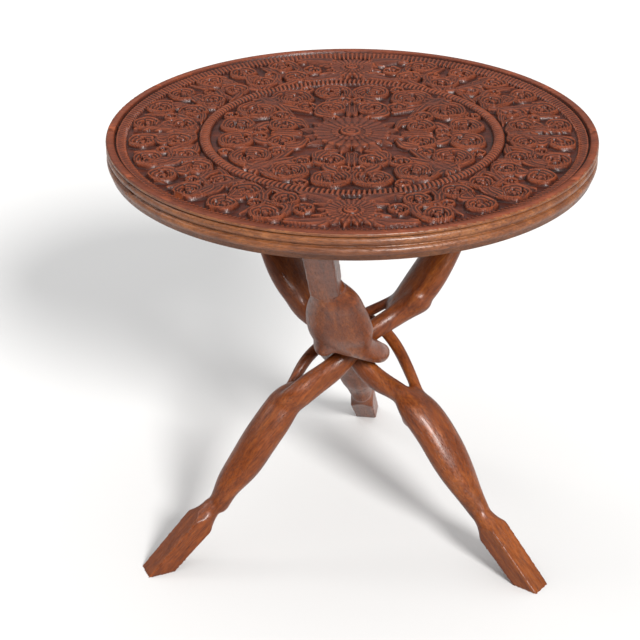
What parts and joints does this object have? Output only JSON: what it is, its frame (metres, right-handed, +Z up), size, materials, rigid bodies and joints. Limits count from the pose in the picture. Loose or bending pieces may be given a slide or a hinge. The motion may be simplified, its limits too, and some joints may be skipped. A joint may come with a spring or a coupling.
{
  "type": "folding tripod side table",
  "caption": "Round side table with a relief-carved top and moulded edge, loose on interlocking carved wooden legs that fold together.",
  "frame": {"origin": "on the floor under the middle of the round top", "axes": "+Z up; the front of the table is the -Y side, where the back leg's upper end reaches the top; the boards of the top run along X"},
  "size_m": [0.5, 0.5, 0.474],
  "materials": {
    "top_wood": "carved hardwood, glossy red-brown varnish",
    "leg_wood": "carved hardwood, satin varnish",
    "batten_wood": "plain sawn hardwood, unvarnished",
    "screw_steel": "dull plain steel"
  },
  "bodies": {
    "back_leg": {"leg_c": "leg_wood"},
    "left_leg": {"leg_a": "leg_wood"},
    "right_leg": {"leg_b": "leg_wood"},
    "top": {"board_front": "top_wood", "board_front_middle": "top_wood", "board_back_middle": "top_wood", "board_back": "top_wood", "batten_left": "batten_wood", "batten_right": "batten_wood", "batten_screws": "screw_steel"}
  },
  "joints": [
    {"name": "left_leg_fold", "type": "hinge", "parent": "back_leg", "child": "left_leg", "pos_m": [0, 0, 0.233], "axis": [0.7988, -0.5954, -0.086], "range_deg": [0, 34.84]},
    {"name": "right_leg_fold", "type": "hinge", "parent": "back_leg", "child": "right_leg", "pos_m": [0, 0, 0.233], "axis": [0.9147, 0.394, 0.0897], "range_deg": [0, 34.35]},
    {"name": "top_lift", "type": "slide", "parent": "back_leg", "child": "top", "axis": [0, 0, 1], "range_m": [0, 0.22]}
  ],
  "couplings": [
    {"joint": "right_leg_fold", "follows": "left_leg_fold", "ratio": 0.98588},
    {"joint": "top_lift", "follows": "left_leg_fold", "m_per_rad": 0.3618}
  ]
}
